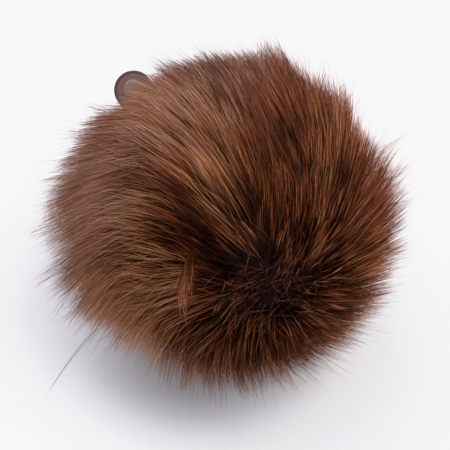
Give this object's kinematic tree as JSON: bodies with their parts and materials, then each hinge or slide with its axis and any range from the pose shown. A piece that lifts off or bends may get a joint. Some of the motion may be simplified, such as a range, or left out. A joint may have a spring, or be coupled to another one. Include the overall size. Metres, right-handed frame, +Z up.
{
  "type": "fur pom pom with snap tab",
  "caption": "Chestnut-brown long-haired fur pom pom lying on its side, with a bound leather tab and press stud",
  "frame": {"origin": "middle of the flat spot that the pom pom rests on", "axes": "+Z up, -Y towards the viewer of the picture, +X to the viewer's right"},
  "size_m": [0.1288, 0.1303, 0.1023],
  "materials": {
    "long_fur": "long soft chestnut hair over dark underfur",
    "brown_leather": "smooth matt",
    "dark_binding": "closely worked thread",
    "satin_plastic": "satin"
  },
  "bodies": {
    "root": {"fur": "long_fur", "tab": "brown_leather", "edging": "dark_binding", "press_stud": "satin_plastic"}
  },
  "joints": []
}
